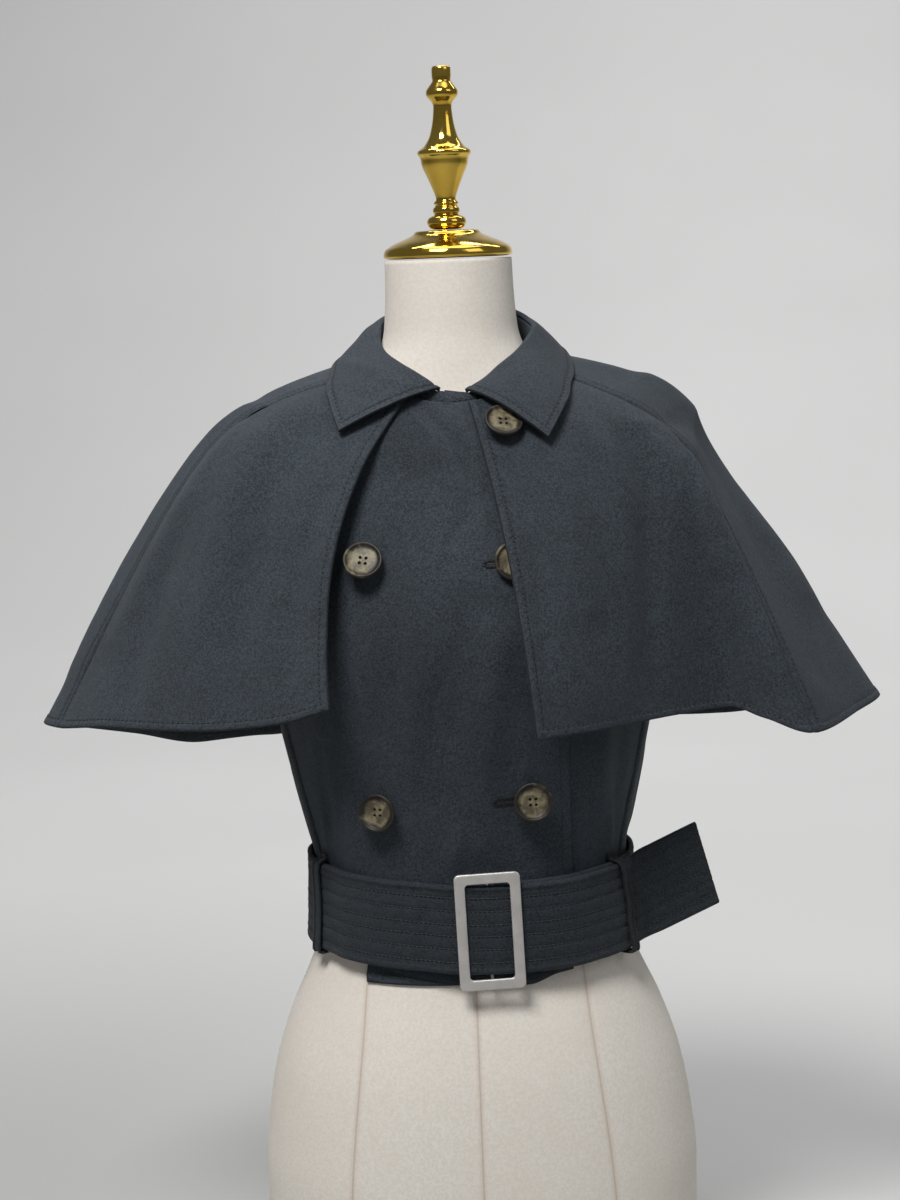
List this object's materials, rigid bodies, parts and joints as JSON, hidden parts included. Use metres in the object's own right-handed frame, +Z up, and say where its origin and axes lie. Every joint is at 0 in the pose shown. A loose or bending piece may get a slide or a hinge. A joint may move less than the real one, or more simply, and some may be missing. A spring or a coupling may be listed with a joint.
{
  "type": "belted double-breasted jacket on a dress form",
  "caption": "Cropped double-breasted jacket with a shoulder cape, pointed collar and wide slide-buckle belt, worn on a limbless dress form with a metal neck cap and finial.",
  "frame": {"origin": "middle of the dress form's flat foot, which stands on the surface", "axes": "+Z up, -Y the way the wearer faces, +X towards the wearer's left"},
  "size_m": [0.6395, 0.3507, 0.961],
  "materials": {
    "jacket_cloth": "matt slate-navy cotton twill",
    "form_linen": "matt cream linen cover",
    "gold_metal": "polished gold plate",
    "buckle_metal": "satin nickel",
    "button_horn": "mottled brown imitation horn, semi-gloss"
  },
  "bodies": {
    "root": {"dress_form": "form_linen", "neck_cap": "gold_metal", "finial": "gold_metal", "front_right": "jacket_cloth", "front_left": "jacket_cloth", "back": "jacket_cloth", "collar_stand": "jacket_cloth", "collar_fall": "jacket_cloth", "cape_front_right": "jacket_cloth", "cape_back": "jacket_cloth", "cape_front_left": "jacket_cloth", "belt": "jacket_cloth", "belt_loop_right": "jacket_cloth", "belt_loop_left": "jacket_cloth", "buckle": "buckle_metal", "button_upper_right": "button_horn", "button_upper_left": "button_horn", "button_lower_right": "button_horn", "button_lower_left": "button_horn", "button_neck": "button_horn"}
  },
  "joints": []
}
